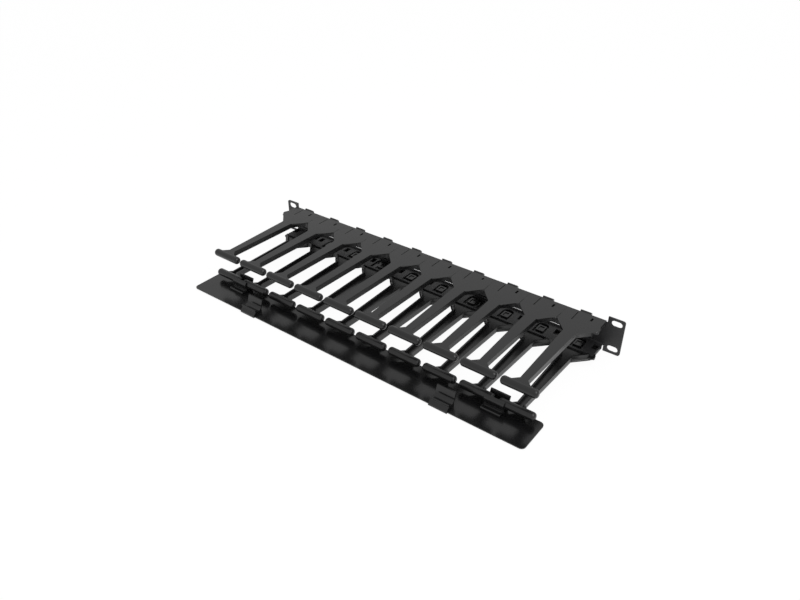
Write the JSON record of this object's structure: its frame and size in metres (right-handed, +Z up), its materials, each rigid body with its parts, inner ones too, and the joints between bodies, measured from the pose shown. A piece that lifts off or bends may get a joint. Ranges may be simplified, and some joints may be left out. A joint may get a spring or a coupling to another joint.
{
  "type": "horizontal cable manager",
  "caption": "Flat black cable duct for one rack unit: a folded steel channel with slotted ears, two rows of T-shaped plastic fingers and a hinged cover, shown open.",
  "frame": {"origin": "the middle of the four rack slots, on the front face of the ears", "axes": "+X to the right as seen from the front of the rack, +Z up, -Y out of the front towards the person who dresses the cables"},
  "size_m": [0.4826, 0.184, 0.0466],
  "materials": {
    "bracket_paint": "fine matt black powder coat",
    "finger_plastic": "lightly textured black moulding",
    "cover_plastic": "satin black extruded sheet",
    "clip_plastic": "plain black moulding"
  },
  "bodies": {
    "frame": {"rack_bracket": "bracket_paint", "upper_finger_01": "finger_plastic", "upper_finger_02": "finger_plastic", "upper_finger_03": "finger_plastic", "upper_finger_04": "finger_plastic", "upper_finger_05": "finger_plastic", "upper_finger_06": "finger_plastic", "upper_finger_07": "finger_plastic", "upper_finger_08": "finger_plastic", "upper_finger_09": "finger_plastic", "upper_finger_10": "finger_plastic", "lower_finger_01": "finger_plastic", "lower_finger_02": "finger_plastic", "lower_finger_03": "finger_plastic", "lower_finger_04": "finger_plastic", "lower_finger_05": "finger_plastic", "lower_finger_06": "finger_plastic", "lower_finger_07": "finger_plastic", "lower_finger_08": "finger_plastic", "lower_finger_09": "finger_plastic", "lower_finger_10": "finger_plastic"},
    "cover": {"cover_panel": "cover_plastic", "hinge_clip_left": "clip_plastic", "hinge_clip_right": "clip_plastic", "latch_hook_left": "clip_plastic", "latch_hook_right": "clip_plastic"}
  },
  "joints": [
    {"name": "cover_hinge", "type": "hinge", "parent": "frame", "child": "cover", "pos_m": [0, -0.1456, -0.0138], "axis": [1, 0, 0], "range_deg": [-90, 25]}
  ]
}
